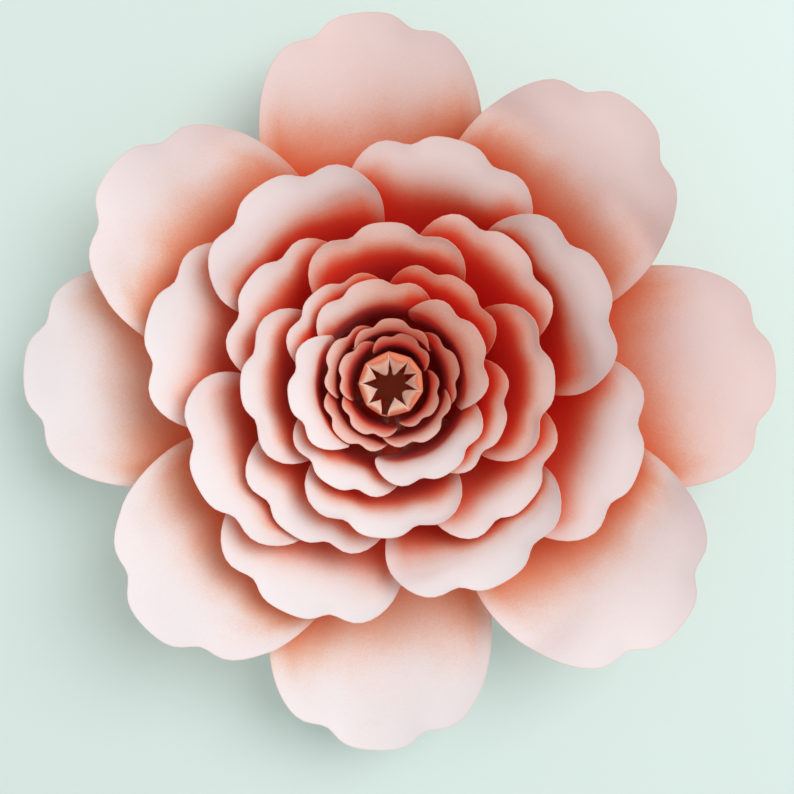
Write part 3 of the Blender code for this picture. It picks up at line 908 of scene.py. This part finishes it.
def card_material(look):
    """Pale card with shade painted on: pale in the open and along its rim, salmon, then deep red in the folds,
    with fibres.
    """
    material, nodes, links, shader, place = new_material(look.name)
    edge = point_value(nodes, "edge_distance")
    tooth = noise(nodes, links, place, TOOTH)
    side = measured(nodes, links, "DOT_PRODUCT", place, SHADED_SIDE)

    # Painted shade: the less open a point, the farther its colour goes down the ramp towards deep red
    shade = math_node(nodes, links, "SUBTRACT", 1.0, point_value(nodes, "openness"))
    # Painted shade: deeper in the folds on the side whose petals face away from the lamp
    deeper = ranged(nodes, links, side, SIDE_TO_DEEPER_SHADE)
    shade = math_node(nodes, links, "MULTIPLY", shade, deeper)
    # Less of the painted shade along the rim
    rim = ranged(nodes, links, edge, (RIM_START * look.pale_rim, look.pale_rim, RIM_SHADE, 1.0))
    shade = math_node(nodes, links, "MULTIPLY", shade, rim)
    # Painted shade: duskier near the flower's middle, on the same side
    heart = ranged(nodes, links, measured(nodes, links, "LENGTH", place), DISTANCE_TO_SHADED_HEART)
    dusky = math_node(nodes, links, "MULTIPLY", heart, ranged(nodes, links, side, SIDE_TO_DUSKY_SHADE))
    shade = math_node(nodes, links, "ADD", shade, dusky)
    level = math_node(nodes, links, "SUBTRACT", 1.0, shade)
    clouds = ranged(nodes, links, noise(nodes, links, place, CLOUDS), CLOUD_SHIFT)
    specks = ranged(nodes, links, noise(nodes, links, place, SPECKS), GRAIN_SHIFT)
    for shift in (clouds, ranged(nodes, links, tooth, GRAIN_SHIFT), specks):
        level = math_node(nodes, links, "ADD", level, shift)
    colours = ramp(nodes, look.stops)
    links.new(level, colours.inputs[0])

    # Painted shade: the card on that side is made pinker
    pinker = ranged(nodes, links, side, SIDE_TO_SHADE_PINK)
    colour = mixed(nodes, links, pinker, colours.outputs[0], linear(*SHADED_SIDE_PINK), "MULTIPLY")
    # A salmon tint within about a millimetre of the outline
    cut = ranged(nodes, links, edge, EDGE_TO_OUTLINE_TINT)
    colour = mixed(nodes, links, cut, colour, linear(*OUTLINE_TINT))
    stretched = nodes.new("ShaderNodeMapping")
    stretched.inputs["Scale"].default_value = FIBRE_STRETCH
    stretched.inputs["Rotation"].default_value = FIBRE_TURN
    links.new(place, stretched.inputs[0])
    fibres = noise(nodes, links, stretched.outputs[0], FIBRES)
    pale = ranged(nodes, links, fibres, FIBRE_TO_PALE)
    colour = mixed(nodes, links, pale, colour, linear(*PALE_FIBRE))
    links.new(colour, shader["Base Color"])

    links.new(ranged(nodes, links, tooth, TOOTH_TO_ROUGHNESS), shader["Roughness"])
    shader["Specular IOR Level"].default_value = SPECULAR
    shader["Sheen Weight"].default_value = SHEEN
    shader["Sheen Roughness"].default_value = SHEEN_ROUGHNESS
    dented = bumped(nodes, links, noise(nodes, links, place, DENTS), DENT_BUMP)
    height = math_node(nodes, links, "ADD", tooth, fibres)
    links.new(bumped(nodes, links, height, CARD_BUMP, dented), shader["Normal"])
    return material


def board_material():
    """Plain greyish-pink board for the backing, with red shade painted on where it lies under the bud, and its
    own tooth.
    """
    material, nodes, links, shader, place = new_material("backing_board")
    tooth = noise(nodes, links, place, BOARD_TOOTH)
    colours = ramp(nodes, BOARD_STOPS)
    links.new(noise(nodes, links, place, BOARD_CLOUDS), colours.inputs[0])
    from_axis = measured(nodes, links, "LENGTH", place)
    # Painted shade: red on the board under the bud
    under_bud = ranged(nodes, links, from_axis, (BUD_RADIUS - UNDER_BUD_SHADE_BAND, BUD_RADIUS, 1.0, 0.0))
    colour = mixed(nodes, links, under_bud, colours.outputs[0], linear(*UNDER_BUD_SHADE))
    links.new(colour, shader["Base Color"])
    links.new(ranged(nodes, links, tooth, BOARD_TO_ROUGHNESS), shader["Roughness"])
    links.new(bumped(nodes, links, tooth, BOARD_BUMP), shader["Normal"])
    return material


def build_floor():
    """The plain pale table top that the flower lies on."""
    bm = bmesh.new()
    bmesh.ops.create_grid(bm, x_segments=2, y_segments=2, size=FLOOR_REACH)
    mesh = bpy.data.meshes.new("floor")
    bm.to_mesh(mesh)
    bm.free()
    material = bpy.data.materials.new("floor")
    material.use_nodes = True
    shader = material.node_tree.nodes["Principled BSDF"]
    shader.inputs["Base Color"].default_value = linear(*FLOOR_COLOUR)
    shader.inputs["Roughness"].default_value = FLOOR_ROUGHNESS
    mesh.materials.append(material)
    floor = bpy.data.objects.new("floor", mesh)
    bpy.context.scene.collection.objects.link(floor)


def add_light(name, lamp):
    """A round soft lamp that points at the flower."""
    data = bpy.data.lights.new(name, "AREA")
    data.shape = "DISK"
    data.size = lamp.size
    data.energy = lamp.power
    light = bpy.data.objects.new(name, data)
    bpy.context.scene.collection.objects.link(light)
    elevation = math.radians(lamp.elevation)
    out, up = lamp.distance * math.cos(elevation), lamp.distance * math.sin(elevation)
    light.location = polar(out, lamp.azimuth, up)
    light.rotation_euler = (Vector(LIT_POINT) - light.location).to_track_quat("-Z", "Y").to_euler()


def build_studio():
    """A plain white surrounding light, one soft lamp, and the camera straight above."""
    scene = bpy.context.scene
    scene.view_settings.view_transform = "Standard"
    world = bpy.data.worlds.new("studio")
    world.use_nodes = True
    background = world.node_tree.nodes["Background"]
    background.inputs["Color"].default_value = (1.0, 1.0, 1.0, 1.0)
    background.inputs["Strength"].default_value = WORLD_STRENGTH
    scene.world = world
    add_light("key", KEY)
    camera_data = bpy.data.cameras.new("camera")
    camera_data.sensor_width = SENSOR_WIDTH
    camera_data.lens = LENS
    camera = bpy.data.objects.new("camera", camera_data)
    scene.collection.objects.link(camera)
    camera.location = CAMERA_PLACE
    scene.camera = camera


def middle_shapes(seat):
    """The bud's wall, its tabs and the backing as plain points and faces for the rays to meet."""
    after = [(k + 1) % BUD_SIDES for k in range(BUD_SIDES)]
    low = [polar(BUD_RADIUS, 360.0 / BUD_SIDES * k, seat) for k in range(BUD_SIDES)]
    high = [place + [0.0, 0.0, BUD_HEIGHT] for place in low]
    lid = [place * [LID_SHARE, LID_SHARE, 1.0] - [0.0, 0.0, LID_DROP] for place in high]
    bands = []
    for first in (0, BUD_SIDES):
        above = first + BUD_SIDES
        bands += [(first + k, first + after[k], above + after[k], above + k) for k in range(BUD_SIDES)]
    disc = [polar(DISC_RADIUS, 360.0 / DISC_SIDES * k, BACKING_THICKNESS) for k in range(DISC_SIDES)]
    return [(low + high + lid, bands), (disc, [tuple(range(DISC_SIDES))])]


def build_flower():
    """All pieces of the flower: the petals with shade painted into their folds, the bud and the backing."""
    cards, top = petal_cards()
    seat = top + GLUE_GAP
    tree = scene_tree(cards, middle_shapes(seat))
    directions = ray_directions()
    materials = {look: card_material(look) for look in (PETAL_LOOK, OUTER_LOOK, SHADED_INNER_LOOK)}
    for card in cards:
        above = openness_of(card, tree, directions, 1.0)
        below = openness_of(card, tree, directions, -1.0)
        build_card(card, above, below, materials[RING_LOOKS[card.ring.name]])
    build_bud(seat, card_material(BUD_LOOK))
    build_backing(board_material())


build_flower()
build_floor()
build_studio()
